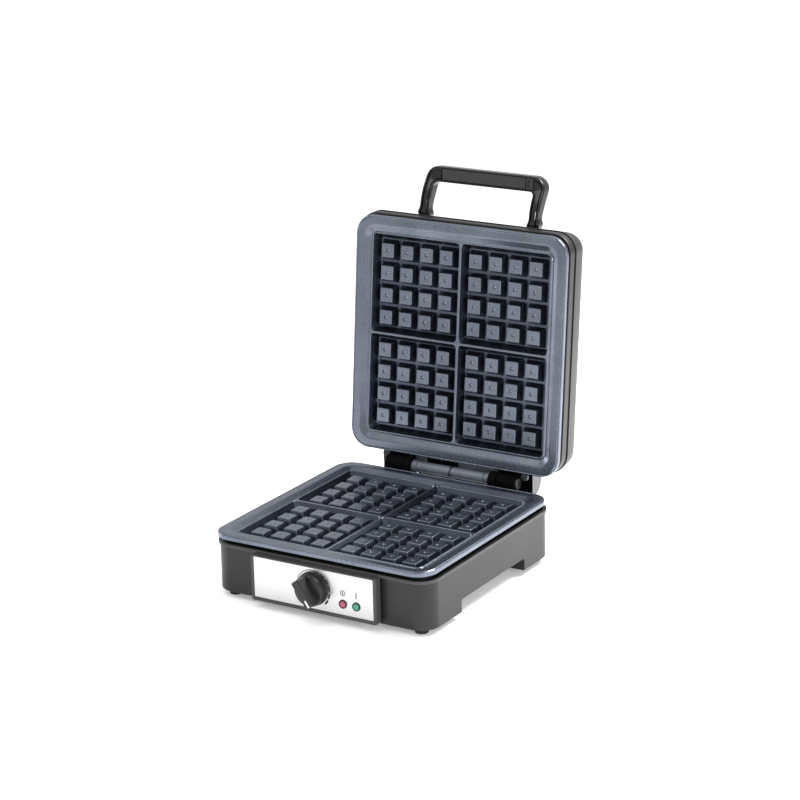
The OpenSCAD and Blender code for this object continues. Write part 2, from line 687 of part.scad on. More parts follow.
// hinge arm, outline about the hinge axis; its flat heel meets the bracket shelf
module hinge_arm(s) lid_pose() mirror([s < 0 ? 1 : 0, 0, 0]) color(gloss) difference() {
  union() {
    translate([arm_x, hy, hz]) rotate([90, 0, 90]) linear_extrude(arm_out - arm_x)
      polygon([[-13.7, 9], at_rest(10.3, -16.05), at_rest(15.4, -16.05), at_rest(21.1, -14.8),
        at_rest(25.7, -11.7), at_rest(28.9, -6.5), [-14.7, 30.4], [-12.7, 17.4], [-12.7, 16.9],
        [-13.7, 16.9]]);
    translate([arm_x, hy, hz]) rotate([90, 0, 90]) linear_extrude(knuckle_out - arm_x) {
      circle(8.5);
      polygon([[-8.4, 0], [8.4, 0], [10, 13], [-8.4, 10.8]]);
    }
    // screw boss on the underside
    translate([arm_out - 7, hy - 7.8, hz]) rotate([-5.93, 0, 0]) translate([0, 0, 5.2])
      cylinder(h = 6, r = 4.2);
  }
  translate([0, hy, hz]) along_x(arm_x - 5, knuckle_out + 30, pin_d / 2 + 0.06);
  translate([arm_out - 7, hy - 7.8, hz]) rotate([-5.93, 0, 0]) translate([0, 0, 4])
    cylinder(h = 18, r = 2.1);
}
module hinge_arm_left() hinge_arm(-1);
module hinge_arm_right() hinge_arm(1);

module arm_screws() color(bright) lid_pose() for (s = [-1, 1])
  translate([s * (arm_out - 7), hy - 7.8, hz]) rotate([-5.93, 0, 0]) {
    translate([0, 0, 4.9]) cylinder(h = 12, r = 2.05);
    translate([0, 0, 3.4]) cylinder(h = 1.7, r = 3.5);
  }

module conduit_saddle() color(coat) lid_pose() translate([0, hy, hz]) difference() {
  translate([-arm_x + 6, 0, 0]) rotate([90, 0, 90]) linear_extrude(2 * arm_x - 14)
    polygon([[-13.7, 9], [-2.06, 10.14], [-2.37, 13.1], [-13.7, 12]]);
  translate([-arm_x + 20, -8.6, 5]) cube([arm_x - 18, 20, 12]);
}

base_housing();
bottom_cover();
cover_screws();
feet();
collar();
lower_plate();
lower_heater();
lower_reflector();
lower_plate_screws();
thermal_fuse();
terminal_block();
terminal_screws();
cord_gland();
control_bezel();
control_panel();
dial_print();
thermostat_body();
thermostat_shaft();
temperature_knob();
knob_pointer();
lamp_collars();
heating_lamp();
ready_lamp();
lamp_holders();
hinge_bracket_left();
hinge_bracket_right();
bracket_screws();
hinge_pin_left();
hinge_pin_right();
barrel_left();
barrel_right();
barrel_ring();
upper_plate();
upper_heater();
upper_reflector();
upper_plate_screws();
lid_frame();
lid_shell();
handle_frame();
handle_cover();
handle_catch();
handle_screws();
hinge_arm_left();
hinge_arm_right();
arm_screws();
conduit_saddle();
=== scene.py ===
"""Waffle maker with its lid open: the detailed visual model round the CAD frame.
Lengths below are millimetres from the middle of the lower plate, on the floor. They become
metres when a mesh is made, and piece() moves each mesh to the CAD frame's origin."""

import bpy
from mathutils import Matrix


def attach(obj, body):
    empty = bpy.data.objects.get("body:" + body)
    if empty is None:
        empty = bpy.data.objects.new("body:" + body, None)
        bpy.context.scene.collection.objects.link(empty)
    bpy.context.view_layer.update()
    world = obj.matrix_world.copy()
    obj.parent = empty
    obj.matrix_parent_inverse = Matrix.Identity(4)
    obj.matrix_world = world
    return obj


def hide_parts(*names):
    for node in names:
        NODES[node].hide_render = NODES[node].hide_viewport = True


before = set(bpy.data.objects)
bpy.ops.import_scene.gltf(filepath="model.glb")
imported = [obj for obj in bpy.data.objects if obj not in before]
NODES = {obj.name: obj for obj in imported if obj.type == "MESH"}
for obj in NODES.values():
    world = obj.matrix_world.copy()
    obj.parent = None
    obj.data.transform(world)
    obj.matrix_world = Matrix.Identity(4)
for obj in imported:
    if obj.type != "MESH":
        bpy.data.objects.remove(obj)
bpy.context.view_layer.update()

import math

import bmesh
import bpy
from mathutils import Matrix, Vector
from mathutils.geometry import tessellate_polygon

# ---- sizes, as in the CAD source, with the middle of the lower plate at Y = 0 ----
RIM_Z = 58.5  # top of the housing
PZ, LZ = 64.5, 72.7  # pin tops of the lower plate, and of the upper plate when shut
HY, HZ = 138.7, 70.57  # hinge axis
LIP_Z, LID_TOP = 87.5, 121.5  # edge and top of the lid shell when shut
LID_F, LID_B = -130.0, 126.0  # its front and back
LID_Y = (LID_F + LID_B) / 2
LID_X, LID_D = 128.2, (LID_B - LID_F) / 2  # its half width and half depth
BY, YF, YR = 2.0, -123.0, 127.0  # middle, front and back of the housing
BODY_X, BODY_Y = 127.0, 125.0  # its half width and half depth
LIP_OUT = 1.45  # how far its lip stands out at the sides
FOOT_H, ARCH_Z = 6.2, 19.7  # underside of the housing and top of its side arches
ARCH_F, ARCH_B = -60.0, 67.0
GLAND_X, GLAND_Z = -25.4, 28.2
PY = -133.5  # front face of the bezel
BEZEL_HX, BEZEL_Z, BEZEL_HZ = 73.5, 32.15, 24.15
PANEL_Z, PANEL_HX, PANEL_HZ = 33.6, 70.0, 21.4
LAMP_X, LAMP_Z = (35.0, 50.5), 23.6
KNOB_OUT = 20.35  # from the bezel's face to the front of the knob
HQ, HH, GRIP_W, GRIP_TOP = 178.6, 110.7, 16.4, 21.0  # the handle's reach, height and grip
EAR_X = 48.0  # inner faces of the hinge brackets
ARM_X, ARM_OUT, KNUCKLE = 58.0, 92.0, 79.0  # across the hinge arms
PIN_BORE, BARREL_BORE = 4.06, 4.03  # radii
OPEN = math.radians(95.93)
BOSS_X, BOSS_Y, BOSS_TILT = 85.0, HY - 7.8, math.pi / 2 - OPEN
FRONT_Y = PY - KNOB_OUT
BACK_Y = HY - (HQ + HY) * math.cos(OPEN) + (HH + GRIP_TOP - HZ) * math.sin(OPEN)
MID_Y = (FRONT_Y + BACK_Y) / 2
TO_ORIGIN = Matrix.Translation((0, -MID_Y / 1000, 0))
LID_POSE = (Matrix.Translation((0, HY, HZ)) @ Matrix.Rotation(-OPEN, 4, "X")
            @ Matrix.Translation((0, -HY, -HZ)))
LID_POSE_M = LID_POSE.copy()  # the same in metres, for meshes already made
LID_POSE_M.translation = LID_POSE.translation * 0.001


# ---- mesh helpers ----
def rrect(hx, hy, r, cx=0.0, cy=0.0, n=6):
    """Points round a rounded rectangle, anticlockwise, n steps to a corner."""
    pts = []
    for qx, qy, a0 in ((1, 1, 0), (-1, 1, 90), (-1, -1, 180), (1, -1, 270)):
        for i in range(n + 1):
            a = math.radians(a0 + 90 * i / n)
            pts.append((cx + qx * (hx - r) + r * math.cos(a), cy + qy * (hy - r) + r * math.sin(a)))
    return pts


def circle(r, n=24, cx=0.0, cy=0.0, a0=0.0):
    return [(cx + r * math.cos(a0 + 2 * math.pi * i / n), cy + r * math.sin(a0 + 2 * math.pi * i / n))
            for i in range(n)]


class Build:
    """Rings and faces in millimetres."""

    def __init__(self):
        self.v, self.f, self.m = [], [], []
        self.mat = 0

    def ring(self, pts, z=None):
        at = len(self.v)
        self.v += [(p[0], p[1], z) if z is not None else tuple(p) for p in pts]
        return list(range(at, len(self.v)))

    def face(self, ids):
        self.f.append(list(ids))
        self.m.append(self.mat)

    def bridge(self, a, b):
        n = len(a)
        for i in range(n):
            j = (i + 1) % n
            self.face((a[i], a[j], b[j], b[i]))

    def loft(self, rings, loop=False):
        for a, b in zip(rings, rings[1:]):
            self.bridge(a, b)
        if loop:
            self.bridge(rings[-1], rings[0])
        return rings

    def fill(self, outer, holes=()):
        """Flat face with holes; the loops lie in one plane."""
        loops = [outer] + list(holes)
        flat = [i for loop in loops for i in loop]
        for t in tessellate_polygon([[Vector(self.v[i]) for i in loop] for loop in loops]):
            self.face([flat[k] for k in t])

    def lathe(self, prof, n=32, ends=(True, True)):
        """Turns (radius, height) round Z."""
        rings = [self.ring(circle(max(r, 0.01), n), z) for r, z in prof]
        self.loft(rings)
        if ends[0]:
            self.face(rings[0])
        if ends[1]:
            self.face(rings[-1])
        return rings

    def add(self, other, matrix=None):
        at = len(self.v)
        self.v += [tuple(matrix @ Vector(p)) if matrix else tuple(p) for p in other.v]
        self.f += [[i + at for i in f] for f in other.f]
        self.m += other.m
        return self

    def mesh(self, matrix=None, merge=0.002):
        bm = bmesh.new()
        vs = [bm.verts.new((matrix @ Vector(p) if matrix else Vector(p)) * 0.001) for p in self.v]
        for f, m in zip(self.f, self.m):
            ids = []
            for i in f:
                if not ids or ids[-1] != i:
                    ids.append(i)
            try:
                bm.faces.new([vs[i] for i in ids]).material_index = m
            except ValueError:
                pass
        if merge:
            bmesh.ops.remove_doubles(bm, verts=bm.verts, dist=merge * 0.001)
        bmesh.ops.recalc_face_normals(bm, faces=bm.faces)
        return bm


def bevel(bm, width, segments=2, angle=40, keep=None):
    """Rounds the edges sharper than the angle."""
    lim = math.radians(angle)
    edges = [e for e in bm.edges if len(e.link_faces) == 2 and e.calc_face_angle(0) > lim
             and (keep is None or keep(e))]
    bmesh.ops.bevel(bm, geom=edges, offset=width * 0.001, segments=segments, profile=0.5,
                    affect="EDGES", clamp_overlap=True)
    bmesh.ops.remove_doubles(bm, verts=bm.verts, dist=1e-6)
    return bm


def piece(name, bm, mats, body, replaces=(), sharp=38):
    """A mesh object that rides on a body, with smooth faces and sharp edges above the angle."""
    me = bpy.data.meshes.new(name)
    if isinstance(bm, Build):
        bm = bm.mesh()
    bm.transform(TO_ORIGIN)
    bm.to_mesh(me)
    bm.free()
    for p in me.polygons:
        p.use_smooth = True
    me.set_sharp_from_angle(angle=math.radians(sharp))
    for m in mats if isinstance(mats, (list, tuple)) else [mats]:
        me.materials.append(m)
    ob = bpy.data.objects.new(name, me)
    bpy.context.scene.collection.objects.link(ob)
    ob.modifiers.new("normals", "WEIGHTED_NORMAL").keep_sharp = True
    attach(ob, body)
    if replaces:
        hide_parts(*replaces)
    return ob


def cut(bm, cutters, use_self=False):
    """bm minus the closed meshes in cutters, as a new bmesh."""
    me = bpy.data.meshes.new("tmp")
    bm.to_mesh(me)
    bm.free()
    ob = bpy.data.objects.new("tmp", me)
    bpy.context.scene.collection.objects.link(ob)
    tools = []
    for c in cutters:
        cm = bpy.data.meshes.new("tool")
        c.to_mesh(cm)
        c.free()
        co = bpy.data.objects.new("tool", cm)
        bpy.context.scene.collection.objects.link(co)
        mod = ob.modifiers.new("cut", "BOOLEAN")
        mod.operation, mod.solver, mod.object = "DIFFERENCE", "EXACT", co
        mod.use_self = use_self
        tools.append(co)
    dg = bpy.context.evaluated_depsgraph_get()
    out = bmesh.new()
    out.from_mesh(ob.evaluated_get(dg).to_mesh())
    for o in [ob] + tools:
        data = o.data
        bpy.data.objects.remove(o)
        bpy.data.meshes.remove(data)
    bmesh.ops.remove_doubles(out, verts=out.verts, dist=1e-6)
    bmesh.ops.dissolve_limit(out, angle_limit=math.radians(0.3), verts=out.verts, edges=out.edges)
    return out


def box(x0, x1, y0, y1, z0, z1, r=0.0):
    b = Build()
    cx, cy = (x0 + x1) / 2, (y0 + y1) / 2
    pts = (rrect((x1 - x0) / 2, (y1 - y0) / 2, r, cx, cy) if r
           else [(x0, y0), (x1, y0), (x1, y1), (x0, y1)])
    lo, hi = b.ring(pts, z0), b.ring(pts, z1)
    b.bridge(lo, hi)
    b.face(lo)
    b.face(hi)
    return b


def prism(outline, x0, x1):
    """Outline (y, z) extruded along X."""
    b = Build()
    lo = b.ring([(x0, y, z) for y, z in outline])
    hi = b.ring([(x1, y, z) for y, z in outline])
    b.bridge(lo, hi)
    b.face(lo)
    b.face(hi)
    return b


def to_x(x=0.0, y=0.0, z=0.0):
    """Puts a lathe's axis along +X."""
    return Matrix.Translation((x, y, z)) @ Matrix.Rotation(math.pi / 2, 4, "Y")


def to_front(x=0.0, y=0.0, z=0.0):
    """Puts a lathe's axis along -Y."""
    return Matrix.Translation((x, y, z)) @ Matrix.Rotation(math.pi / 2, 4, "X")


def smooth_line(pts, n):
    """n points on a curve through pts, evenly spread in parameter."""
    out = []
    m = len(pts) - 1
    for k in range(n):
        t = k * m / (n - 1)
        i = min(int(t), m - 1)
        t -= i
        p = [pts[max(i - 1, 0)], pts[i], pts[i + 1], pts[min(i + 2, m)]]
        out.append(tuple(0.5 * ((2 * p[1][c]) + (p[2][c] - p[0][c]) * t
                                + (2 * p[0][c] - 5 * p[1][c] + 4 * p[2][c] - p[3][c]) * t * t
                                + (-p[0][c] + 3 * p[1][c] - 3 * p[2][c] + p[3][c]) * t ** 3)
                         for c in range(len(pts[0]))))
    return out


# ---- materials ----
class Nodes:
    """A node material, with its textures in object coordinates."""

    def __init__(self, name):
        self.mat = bpy.data.materials.new(name)
        self.mat.use_nodes = True
        self.t = self.mat.node_tree
        self.bsdf = next(n for n in self.t.nodes if n.type == "BSDF_PRINCIPLED")
        self.coord = self.add("ShaderNodeTexCoord").outputs["Object"]

    def add(self, kind, **kw):
        n = self.t.nodes.new(kind)
        for k, v in kw.items():
            setattr(n, k, v)
        return n

    def link(self, a, b):
        self.t.links.new(a, b)

    def scaled(self, xyz):
        n = self.add("ShaderNodeMapping")
        self.link(self.coord, n.inputs["Vector"])
        n.inputs["Scale"].default_value = xyz
        return n.outputs["Vector"]

    def noise(self, scale, detail=3.0, rough=0.5, vec=None):
        n = self.add("ShaderNodeTexNoise")
        n.inputs["Scale"].default_value = scale
        n.inputs["Detail"].default_value = detail
        n.inputs["Roughness"].default_value = rough
        self.link(vec or self.coord, n.inputs["Vector"])
        return n.outputs["Fac"]

    def mix(self, fac, a, b):
        n = self.add("ShaderNodeMix", data_type="RGBA")
        for s, v in ((n.inputs[0], fac), (n.inputs[6], a), (n.inputs[7], b)):
            if hasattr(v, "is_linked"):
                self.link(v, s)
            else:
                s.default_value = v if isinstance(v, float) else (*v, 1)
        return n.outputs[2]

    def span(self, fac, lo, hi, a=0.3, b=0.7):
        """Maps a..b to lo..hi."""
        n = self.add("ShaderNodeMapRange")
        self.link(fac, n.inputs["Value"])
        for k, v in (("From Min", a), ("From Max", b), ("To Min", lo), ("To Max", hi)):
            n.inputs[k].default_value = v
        return n.outputs["Result"]

    def bump(self, height, strength, distance):
        n = self.add("ShaderNodeBump")
        n.inputs["Strength"].default_value = strength
        n.inputs["Distance"].default_value = distance
        self.link(height, n.inputs["Height"])
        self.link(n.outputs["Normal"], self.bsdf.inputs["Normal"])

    def set(self, **kw):
        for k, v in kw.items():
            s = self.bsdf.inputs[k.replace("_", " ")]
            if hasattr(v, "is_linked"):
                self.link(v, s)
            else:
                s.default_value = (*v, 1) if isinstance(v, tuple) else v
        return self.mat


def plastic(name, dark, light, rough, grain, spec=0.5, bump=0.12):
    """Moulded plastic: a fine spark-eroded grain, with slow changes of tone and gloss."""
    n = Nodes(name)
    slow = n.noise(14, 3)
    fine = n.noise(grain, 2, 0.6)
    col = n.mix(n.span(slow, 0.0, 1.0), dark, light)
    n.bump(fine, bump, 0.00012)
    return n.set(Base_Color=col, Roughness=n.span(fine, rough - 0.05, rough + 0.05), Metallic=0.0,
                 Specular_IOR_Level=spec)


def coating(name, deep, pale, fleck, rough, metallic=0.92):
    """Sprayed non-stick coat: blue-grey with fine mineral flecks and a soft orange-peel."""
    n = Nodes(name)
    slow = n.noise(22, 3)
    grain = n.noise(1500, 3, 0.7)
    peel = n.noise(420, 2)
    specks = n.add("ShaderNodeTexVoronoi")
    specks.inputs["Scale"].default_value = 900
    n.link(n.coord, specks.inputs["Vector"])
    dot = n.span(specks.outputs["Distance"], 1.0, 0.0, 0.10, 0.24)
    base = n.mix(n.span(slow, 0.0, 1.0), deep, pale)
    base = n.mix(n.span(grain, 0.0, 0.45, 0.45, 0.75), base, pale)
    base = n.mix(dot, base, fleck)
    n.bump(peel, 0.10, 0.00015)
    return n.set(Base_Color=base, Roughness=n.span(grain, rough - 0.07, rough + 0.09), Metallic=metallic,
                 Specular_IOR_Level=0.5)


def metal(name, a, b, rough, stretch, scale=60, bump=0.05):
    """Metal with a drawn or brushed grain along one axis."""
    n = Nodes(name)
    streak = n.noise(scale, 4, 0.65, n.scaled(stretch))
    slow = n.noise(30, 2)
    col = n.mix(n.span(streak, 0.0, 1.0), a, b)
    col = n.mix(n.span(slow, 0.0, 0.25), col, tuple(0.9 * c for c in a))
    n.bump(streak, bump, 0.00005)
    return n.set(Base_Color=col, Roughness=n.span(streak, rough - 0.06, rough + 0.08), Metallic=1.0)


def lens(name, dark, light):
    """Coloured lamp lens with a fine pebbled surface."""
    n = Nodes(name)
    ribs = n.noise(900, 2)
    col = n.mix(n.span(ribs, 0.0, 1.0), dark, light)
    n.bump(ribs, 0.15, 0.0002)
    return n.set(Base_Color=col, Roughness=0.22, Metallic=0.0, Specular_IOR_Level=0.6)


M_HOUSING = plastic("satin_black", (0.008, 0.008, 0.009), (0.012, 0.012, 0.013), 0.40, 2600, 0.37)
# bezel plastic, also used on the housing's lip as a painted highlight
M_BEZEL_AND_LIP_HIGHLIGHT = plastic("satin_black_bezel_and_lip_highlight", (0.044, 0.044, 0.045), (0.054, 0.054, 0.055), 0.45, 2600, 0.3)
M_SHELL = plastic("satin_black_shell", (0.008, 0.008, 0.009), (0.012, 0.012, 0.013), 0.44, 2600, 0.38)
M_INNER = plastic("inner_black", (0.006, 0.006, 0.007), (0.010, 0.010, 0.011), 0.36, 1800, 0.45)
# near-black hinge plastic with almost no gloss: painted shade where the hinge sits in deep shadow
M_HINGE_PAINTED_SHADE = plastic("hinge_black", (0.0015, 0.0015, 0.0016), (0.003, 0.003, 0.003), 0.7, 1800, 0.03)
# lighter copy of the hinge plastic for the arms' outer faces: a painted reflection
M_ARM_PAINTED_REFLECTION = plastic("hinge_outer_face_painted_reflection", (0.10, 0.10, 0.105), (0.13, 0.13, 0.135), 0.4, 1800, 0.5)
M_HANDLE = plastic("handle_black", (0.004, 0.004, 0.005), (0.007, 0.007, 0.008), 0.16, 900, 0.45, 0.04)
M_GRIP = plastic("grip_black", (0.016, 0.016, 0.017), (0.024, 0.024, 0.025), 0.36, 1600, 0.5, 0.08)
M_BLACKENED = metal("blackened_screws", (0.05, 0.05, 0.055), (0.10, 0.10, 0.11), 0.4, (1, 1, 1), 500)
M_KNOB = plastic("knob_black", (0.006, 0.006, 0.007), (0.010, 0.010, 0.011), 0.34, 1600, 0.4, 0.06)
M_RUBBER = plastic("rubber_feet", (0.015, 0.015, 0.015), (0.03, 0.03, 0.03), 0.75, 900, 0.3, 0.3)
M_WHITE = plastic("white_pointer", (0.80, 0.80, 0.78), (0.88, 0.88, 0.86), 0.35, 800)
M_PRINT = plastic("panel_print", (0.004, 0.004, 0.004), (0.008, 0.008, 0.008), 0.6, 1200, 0.1)
M_COAT = coating("nonstick_coat", (0.112, 0.127, 0.162), (0.168, 0.190, 0.232),
                 (0.40, 0.43, 0.50), 0.25)
# darker copy of the coat: painted shade for the pin sides and the pocket walls and floors
M_COAT_PAINTED_SHADE = coating("nonstick_painted_shade", (0.050, 0.058, 0.080), (0.078, 0.090, 0.120),
                   (0.20, 0.22, 0.27), 0.22)
M_BARREL = coating("barrel_grey", (0.11, 0.125, 0.15), (0.165, 0.185, 0.215),
                   (0.34, 0.37, 0.42), 0.46, 0.45)
# lighter, shinier metal in the pin-top dimples: a painted highlight
M_DIMPLE_PAINTED_HIGHLIGHT = metal("dimple_painted_highlight", (0.30, 0.32, 0.36), (0.5, 0.52, 0.56), 0.3, (1, 1, 1), 800)
M_PANEL = metal("brushed_panel", (0.52, 0.52, 0.525), (0.63, 0.63, 0.635), 0.30, (3, 3, 160), 40, 0.06)
M_STEEL = metal("steel_parts", (0.55, 0.55, 0.56), (0.72, 0.72, 0.73), 0.28, (1, 1, 1), 500)
M_BRIGHT = metal("aluminised_sheet", (0.70, 0.70, 0.71), (0.82, 0.82, 0.83), 0.34, (40, 1, 1), 40)
M_HEATER = metal("heater_sheath", (0.24, 0.20, 0.18), (0.42, 0.38, 0.36), 0.42, (1, 1, 1), 200)
M_CERAMIC = plastic("cream_ceramic", (0.70, 0.66, 0.56), (0.80, 0.77, 0.68), 0.5, 500)
M_RED = lens("red_lens", (0.30, 0.04, 0.07), (0.46, 0.10, 0.14))
M_GREEN = lens("green_lens", (0.02, 0.22, 0.14), (0.06, 0.36, 0.25))

# CAD nodes that stay, mostly inside the machine
for node, m in {
    "bottom_cover": M_HOUSING, "cover_screws": M_STEEL, "collar": M_INNER, "lower_heater": M_HEATER,
    "lower_reflector": M_BRIGHT, "lower_plate_screws": M_STEEL, "thermal_fuse": M_CERAMIC,
    "terminal_block": M_CERAMIC, "terminal_screws": M_STEEL, "thermostat_body": M_BRIGHT,
    "thermostat_shaft": M_STEEL, "lamp_holders": M_CERAMIC, "bracket_screws": M_STEEL,
    "hinge_pin_left": M_BLACKENED, "hinge_pin_right": M_BLACKENED, "upper_heater": M_HEATER,
    "upper_reflector": M_BRIGHT, "upper_plate_screws": M_STEEL, "handle_screws": M_STEEL,
    "dial_print": M_PRINT, "hinge_bracket_left": M_HINGE_PAINTED_SHADE, "hinge_bracket_right": M_HINGE_PAINTED_SHADE,
    "arm_screws": M_BLACKENED,
}.items():
    o = NODES[node]
    o.data.materials.clear()
    o.data.materials.append(m)


# ---- cooking plates ----
RIM = [  # half size, height above the pin tops, corner radius; from the ridge crest outwards
    (108.10, 1.30, 6.4), (108.45, 1.24, 6.7), (108.72, 1.00, 6.9), (109.00, 0.58, 7.1),
    (109.35, 0.31, 7.4), (109.80, 0.24, 7.7), (110.25, 0.36, 8.1), (110.90, 0.66, 8.8),
    (115.40, 3.05, 13.2), (116.00, 3.36, 13.8), (116.60, 3.58, 14.4), (117.40, 3.69, 15.0),
    (118.20, 3.70, 15.5), (124.10, 3.70, 18.4), (124.45, 3.58, 18.7), (124.70, 3.20, 18.9),
    (125.00, 3.16, 19.1), (125.25, 3.50, 19.3), (125.65, 3.76, 19.7), (126.15, 3.76, 20.2),
    (126.60, 3.50, 20.6), (126.90, 3.00, 20.9), (127.00, 2.40, 21.0), (127.00, -0.50, 21.0),
    (126.85, -1.05, 20.8), (126.30, -1.30, 20.3), (120.0, -1.30, 15.0), (111.5, -1.30, 12.0),
    (110.3, -2.2, 12.0), (110.0, -10.6, 11.6), (109.2, -11.5, 11.0)]
POCKET = [(53.42, 1.30, 4.9), (53.12, 1.18, 4.7), (52.84, 0.78, 4.5), (48.55, -8.30, 2.4),
          (48.30, -8.74, 2.2), (48.00, -8.94, 2.0), (47.70, -9.00, 1.8)]
POCKET_AT = 54.15
PIN = [(10.78, -9.0, 1.5), (10.55, -8.92, 1.4), (10.36, -8.60, 1.3), (7.55, -0.78, 0.90),
       (7.38, -0.34, 0.80), (7.12, -0.09, 0.60), (6.78, 0.0, 0.42)]
PIN_AT = [17.7, 41.7, 65.7, 89.7]
DIMPLE = [(2.15, 0.0), (1.95, -0.14), (1.80, -0.75), (1.50, -1.35), (0.85, -1.5), (0.4, -1.25)]


def cooking_plate():
    """One plate face up, with its pin tops at z = 0. Slots: coat, dimple lightened as a painted highlight,
    coat darkened as painted shade on the pin sides and in the pockets.
    """
    b = Build()
    rings = b.loft([b.ring(rrect(h, h, r, n=10), z) for h, z, r in RIM])
    b.face(rings[-1])
    holes = []
    for sx in (1, -1):
        for sy in (1, -1):
            cx, cy = sx * POCKET_AT, sy * POCKET_AT
            pocket = [b.ring(rrect(h, h, r, cx, cy, n=6), z) for h, z, r in POCKET]
            b.loft(pocket[:3])
            # slot 2: the pocket walls take the darker coat, painted shade in the recess
            b.mat = 2
            b.loft(pocket[2:])
            b.mat = 0
            holes.append(pocket[0])
            feet = []
            for px in PIN_AT:
                for py in PIN_AT:
                    x, y = sx * px, sy * py
                    pin = [b.ring(rrect(h, h, r, x, y, n=3), z) for h, z, r in PIN]
                    # slot 2: the pin sides take the darker coat, painted shade between the pins
                    b.mat = 2
                    b.loft(pin[:4])
                    b.mat = 0
                    b.loft(pin[3:])
                    feet.append(pin[0])
                    dim = [b.ring(circle(r, 14, x, y, 0.26), z) for r, z in DIMPLE]
                    b.fill(pin[-1], [dim[0]])
                    b.loft(dim[:5])
                    # slot 1: the dimple's lower wall and floor, lighter as a painted highlight
                    b.mat = 1
                    b.loft(dim[4:])
                    b.face(dim[-1])
                    b.mat = 0
            # slot 2: the pocket floor takes the darker coat, painted shade in the recess
            b.mat = 2
            b.fill(pocket[-1], feet)
            b.mat = 0
    b.fill(rings[0], holes)
    return b


PLATE = cooking_plate()
PLATE_MATS = [M_COAT, M_DIMPLE_PAINTED_HIGHLIGHT, M_COAT_PAINTED_SHADE]
LOWER_AT = Matrix.Translation((0, 0, PZ))
UPPER_AT = LID_POSE @ Matrix.Translation((0, 0, LZ)) @ Matrix.Rotation(math.pi, 4, "X")
piece("plate_lower", PLATE.mesh(LOWER_AT, merge=0), PLATE_MATS, "base",
      ["lower_plate"], sharp=50)
piece("plate_upper", PLATE.mesh(UPPER_AT, merge=0), PLATE_MATS, "lid",
      ["upper_plate"], sharp=50)

# ---- base housing ----
OUT = [  # distance out from the wall, height; from the underside up and over the lip
    (-3.0, FOOT_H), (-1.2, FOOT_H), (-0.5, 6.4), (-0.12, 6.85), (0.0, 7.5), (0.0, 54.5),
    (0.15, 54.9), (0.8, 55.1), (2.1, 55.2), (2.45, 55.4), (2.6, 55.8), (2.6, 57.0), (2.4, 57.8),
    (1.7, RIM_Z), (-1.9, RIM_Z), (-2.35, 58.35), (-2.6, 57.9), (-2.6, 42.0)]
LIP_HIGHLIGHT_BAND = (0.0551, 0.0583)  # heights of the lip's faces painted lighter as a highlight, in metres
ARCH_R = 3.0
b = Build()
rings = b.loft([b.ring(rrect(BODY_X + min(d, LIP_OUT), BODY_Y + d, 20 + d, 0, BY, n=12), z)
                for d, z in OUT])
b.face(rings[0])
b.face(rings[-1])
QUARTER = [math.pi / 2 * i / 5 for i in range(6)]
arch = [(ARCH_F, -5), (ARCH_B, -5)]
arch += [(ARCH_B - ARCH_R + ARCH_R * math.cos(a), ARCH_Z - ARCH_R + ARCH_R * math.sin(a))
         for a in QUARTER]
arch += [(ARCH_F + ARCH_R - ARCH_R * math.sin(a), ARCH_Z - ARCH_R + ARCH_R * math.cos(a))
         for a in QUARTER]
control_hole = box(-68.5, 68.5, -128, -68, 14.8, 50, 2.0)
cord_hole = Build()
cord_hole.lathe([(7.05, 0), (7.05, 16)])
housing = cut(b.mesh(), [prism(arch, -150, 150).mesh(), control_hole.mesh(),
                         cord_hole.mesh(to_front(GLAND_X, 133, GLAND_Z))])
bevel(housing, 0.7, 2, 50, keep=lambda e: all(
    ARCH_F - 0.5 < v.co.y * 1000 < ARCH_B + 0.5 and v.co.z < 0.0205 for v in e.verts))
# the lip's band takes the lighter bezel plastic: a painted highlight along the lip
for f in housing.faces:
    f.material_index = int(LIP_HIGHLIGHT_BAND[0] < f.calc_center_median().z < LIP_HIGHLIGHT_BAND[1])
piece("housing", housing, [M_HOUSING, M_BEZEL_AND_LIP_HIGHLIGHT], "base", ["base_housing"])

# ---- feet ----
b = Build()
for i in (-1, 1):
    for j in (-1, 1):
        f = Build()
        f.lathe([(5.2, 0.0), (6.2, 0.15), (6.75, 0.6), (7.0, 1.3), (7.0, 4.6), (6.7, 5.2), (6.7, 6.3),
                 (3.0, 6.4), (3.0, 12.0)], 32)
        b.add(f, Matrix.Translation((i * 110, BY + j * 111, 0)))
piece("rubber_feet_set", b.mesh(merge=0), M_RUBBER, "base", ["feet"])

# ---- bezel ----
def face_ring(hx, hz, r, cz, y, n=4):
    """Rounded rectangle standing across the front."""
    return b.ring([(x, y, z) for x, z in rrect(hx, hz, r, 0, cz, n)])


def bezel_ring(inset, r, y):
    return face_ring(BEZEL_HX - inset, BEZEL_HZ - inset, r, BEZEL_Z, y)


def window_ring(gap, r, y):
    return face_ring(PANEL_HX + gap, PANEL_HZ + gap, r, PANEL_Z, y)


b = Build()
b.loft([bezel_ring(1.7, 1.2, YF + 0.15), bezel_ring(1.7, 1.2, YF - 1.8), bezel_ring(0.3, 1.9, YF - 1.8),
        bezel_ring(0.0, 2.2, YF - 2.1), bezel_ring(0.0, 2.2, PY + 0.9), bezel_ring(0.12, 2.1, PY + 0.4),
        bezel_ring(0.4, 1.8, PY + 0.1),
        face_ring(BEZEL_HX - 0.9, BEZEL_HZ - 0.7, 1.3, BEZEL_Z, PY),
        window_ring(0.45, 1.2, PY), window_ring(0.2, 1.0, PY + 0.25), window_ring(0.1, 0.9, PY + 1.3),
        face_ring(65, 16.5, 0.9, PANEL_Z, PY + 1.3), face_ring(65, 16.5, 0.9, PANEL_Z, YF + 3.9),
        face_ring(68, 20.2, 2.0, BEZEL_Z, YF + 3.9), face_ring(68, 20.2, 2.0, BEZEL_Z, YF + 0.15)],
       loop=True)
